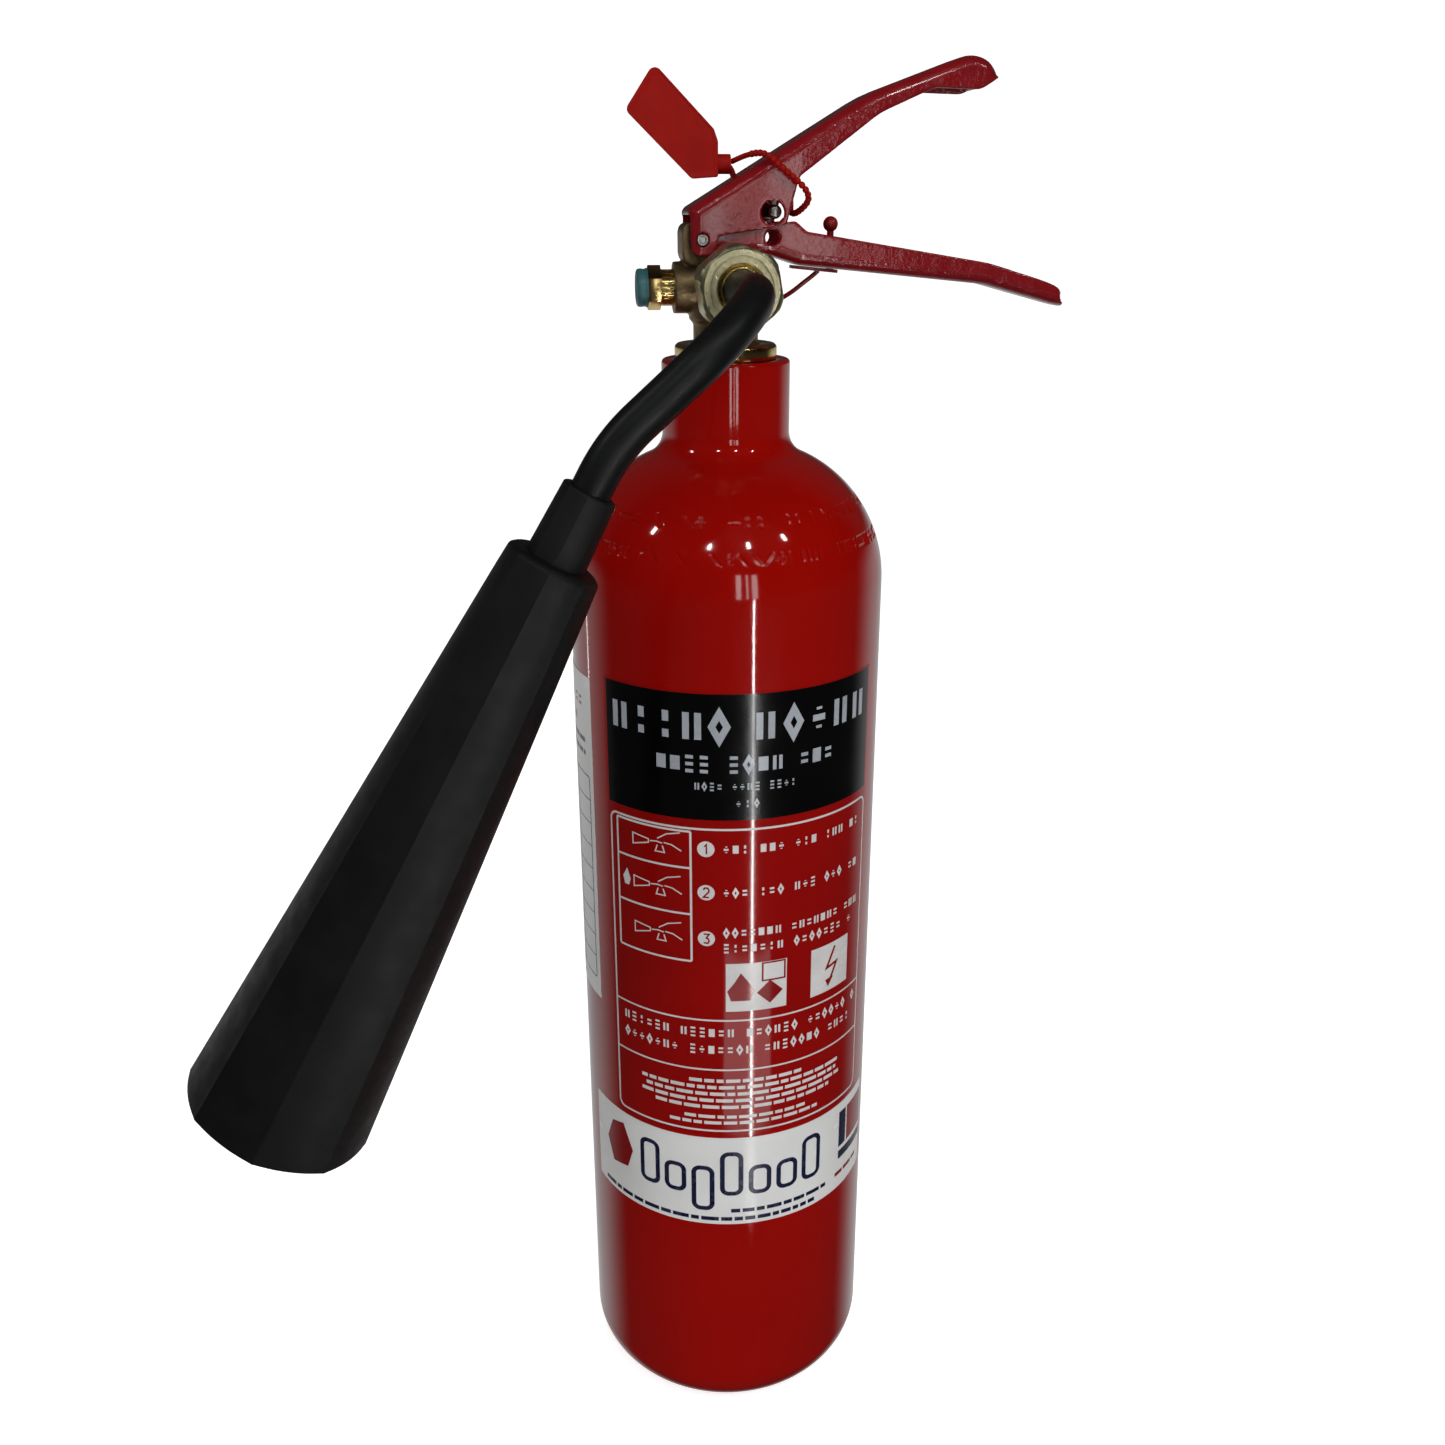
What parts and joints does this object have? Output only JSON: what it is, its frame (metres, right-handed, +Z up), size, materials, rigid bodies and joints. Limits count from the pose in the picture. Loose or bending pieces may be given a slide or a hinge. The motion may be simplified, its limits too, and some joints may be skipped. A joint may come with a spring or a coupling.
{
  "type": "fire extinguisher",
  "caption": "Red carbon dioxide fire extinguisher: brass squeeze valve with carry handle and lever, safety pin with seal, bent tube and black horn that swivels on the outlet.",
  "frame": {"origin": "centre of the cylinder's flat base, on the cylinder's axis", "axes": "+Z up along the cylinder, +X towards the handles' tips, -Y towards the outlet and the front label"},
  "size_m": [0.3169, 0.1823, 0.5304],
  "materials": {
    "cylinder_paint": "gloss",
    "label_red": "satin",
    "label_white": "satin",
    "handle_paint": "gloss",
    "brass_cast": "satin",
    "brass_bright": "polished",
    "zinc_nut": "satin",
    "steel_pin": "polished",
    "spring_steel": "satin",
    "tube_black": "satin",
    "horn_plastic": "matte",
    "seal_plastic": "satin",
    "tether_plastic": "satin",
    "cap_plastic": "satin",
    "rubber_black": "matte",
    "nylon_seal": "matte",
    "copper_washer": "satin",
    "dip_tube_metal": "satin"
  },
  "bodies": {
    "cylinder_and_valve": {"cylinder": "cylinder_paint", "front_label": "label_red", "band_label": "label_white", "service_label": "label_white", "neck_ring": "brass_bright", "neck_oring": "rubber_black", "valve_body": "brass_cast", "dip_tube_bush": "brass_bright", "dip_tube": "dip_tube_metal", "valve_spring": "spring_steel", "stem_oring": "rubber_black", "gland_nut": "brass_bright", "burst_disc": "steel_pin", "relief_washer": "copper_washer", "relief_plug": "brass_bright", "relief_cap": "cap_plastic", "swivel_nut": "zinc_nut", "carry_handle": "handle_paint", "pivot_pin": "steel_pin", "tether_anchor": "tether_plastic", "pin_tether": "tether_plastic"},
    "stem": {"valve_stem": "steel_pin", "stem_seal": "nylon_seal"},
    "discharge_horn": {"swivel_spigot": "brass_bright", "spigot_orings": "rubber_black", "discharge_tube": "tube_black", "jet_nozzle": "brass_bright", "horn_collar": "horn_plastic", "horn": "horn_plastic"},
    "lever": {"squeeze_lever": "handle_paint", "seal_tag": "seal_plastic", "seal_head": "seal_plastic", "seal_strap": "seal_plastic"},
    "pin": {"safety_pin": "steel_pin", "pin_loop": "steel_pin", "tether_eye": "tether_plastic"}
  },
  "joints": [
    {"name": "lever_squeeze", "type": "hinge", "parent": "cylinder_and_valve", "child": "lever", "pos_m": [-0.0097, 0, 0.4725], "axis": [0, 1, 0], "range_deg": [0, 8], "stiffness_Nm_per_rad": 3, "springref_deg": -14.32},
    {"name": "stem_press", "type": "slide", "parent": "cylinder_and_valve", "child": "stem", "axis": [0, 0, -1], "range_m": [0, 0.0021], "deforming": ["valve_spring"]},
    {"name": "horn_swivel", "type": "hinge", "parent": "cylinder_and_valve", "child": "discharge_horn", "pos_m": [0, 0, 0.4577], "axis": [0, 1, 0], "range_deg": [-30, 120]},
    {"name": "pin_pull", "type": "slide", "parent": "cylinder_and_valve", "child": "pin", "axis": [0, 1, 0], "range_m": [0, 0.0265], "deforming": ["pin_tether"]}
  ],
  "couplings": [
    {"joint": "stem_press", "follows": "lever_squeeze", "m_per_rad": 0.0145}
  ]
}
